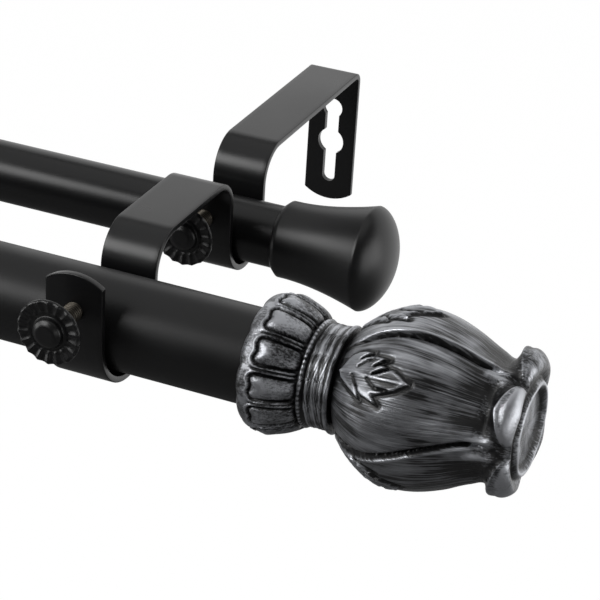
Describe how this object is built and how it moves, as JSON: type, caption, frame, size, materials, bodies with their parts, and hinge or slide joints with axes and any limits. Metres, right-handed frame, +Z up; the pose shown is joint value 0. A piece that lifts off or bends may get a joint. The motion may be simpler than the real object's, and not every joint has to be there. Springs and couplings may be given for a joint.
{
  "type": "double curtain pole",
  "caption": "Telescopic double curtain pole: thick front pole with carved flower finials, thin back pole with flared end caps, on bent-strip wall brackets with thumbscrews.",
  "frame": {"origin": "centre of the right-hand keyhole's wide hole, on the wall plane", "axes": "+X along the poles to the right-hand finial, +Y into the wall, +Z up; the room is at -Y"},
  "size_m": [0.8548, 0.1861, 0.0501],
  "materials": {
    "black_powder_coated_steel": "satin black powder coat",
    "black_moulded_cap": "satin black lacquer over a moulded cap",
    "black_cast_knob": "satin black paint over a zinc casting",
    "plated_steel_thread": "zinc-plated rolled thread",
    "antique_silver_resin": "cast resin, black paint brushed over with silver"
  },
  "bodies": {
    "wall_set": {"bracket_right": "black_powder_coated_steel", "bracket_left": "black_powder_coated_steel", "front_outer_tube": "black_powder_coated_steel", "back_outer_tube": "black_powder_coated_steel", "finial_right": "antique_silver_resin", "end_cap_right": "black_moulded_cap"},
    "front_extension": {"front_inner_tube": "black_powder_coated_steel", "finial_left": "antique_silver_resin"},
    "back_extension": {"back_inner_tube": "black_powder_coated_steel", "end_cap_left": "black_moulded_cap"},
    "front_stud_right": {"front_stud_right": "plated_steel_thread"},
    "front_knob_right": {"front_knob_right": "black_cast_knob"},
    "back_stud_right": {"back_stud_right": "plated_steel_thread"},
    "back_knob_right": {"back_knob_right": "black_cast_knob"},
    "front_stud_left": {"front_stud_left": "plated_steel_thread"},
    "front_knob_left": {"front_knob_left": "black_cast_knob"},
    "back_stud_left": {"back_stud_left": "plated_steel_thread"},
    "back_knob_left": {"back_knob_left": "black_cast_knob"}
  },
  "joints": [
    {"name": "front_extend", "type": "slide", "parent": "wall_set", "child": "front_extension", "axis": [-1, 0, 0], "range_m": [0, 0.508]},
    {"name": "back_extend", "type": "slide", "parent": "wall_set", "child": "back_extension", "axis": [-1, 0, 0], "range_m": [0, 0.508]},
    {"name": "front_screw_right_travel", "type": "slide", "parent": "wall_set", "child": "front_stud_right", "axis": [0, -1, 0], "range_m": [0, 0.004]},
    {"name": "front_screw_right_turn", "type": "hinge", "parent": "front_stud_right", "child": "front_knob_right", "pos_m": [0, -0.1552, 0.0175], "axis": [0, -1, 0], "range_deg": [0, 1800]},
    {"name": "back_screw_right_travel", "type": "slide", "parent": "wall_set", "child": "back_stud_right", "axis": [0, -1, 0], "range_m": [0, 0.004]},
    {"name": "back_screw_right_turn", "type": "hinge", "parent": "back_stud_right", "child": "back_knob_right", "pos_m": [0, -0.0832, 0.0118], "axis": [0, -1, 0], "range_deg": [0, 1800]},
    {"name": "front_screw_left_travel", "type": "slide", "parent": "wall_set", "child": "front_stud_left", "axis": [0, -1, 0], "range_m": [0, 0.004]},
    {"name": "front_screw_left_turn", "type": "hinge", "parent": "front_stud_left", "child": "front_knob_left", "pos_m": [-0.6236, -0.1552, 0.01896], "axis": [0, -1, 0], "range_deg": [0, 1800]},
    {"name": "back_screw_left_travel", "type": "slide", "parent": "wall_set", "child": "back_stud_left", "axis": [0, -1, 0], "range_m": [0, 0.004]},
    {"name": "back_screw_left_turn", "type": "hinge", "parent": "back_stud_left", "child": "back_knob_left", "pos_m": [-0.6236, -0.0832, 0.01326], "axis": [0, -1, 0], "range_deg": [0, 1800]}
  ],
  "couplings": [
    {"joint": "front_screw_right_turn", "follows": "front_screw_right_travel", "rad_per_m": 7853.9},
    {"joint": "back_screw_right_turn", "follows": "back_screw_right_travel", "rad_per_m": 7853.9},
    {"joint": "front_screw_left_turn", "follows": "front_screw_left_travel", "rad_per_m": 7853.9},
    {"joint": "back_screw_left_turn", "follows": "back_screw_left_travel", "rad_per_m": 7853.9}
  ]
}
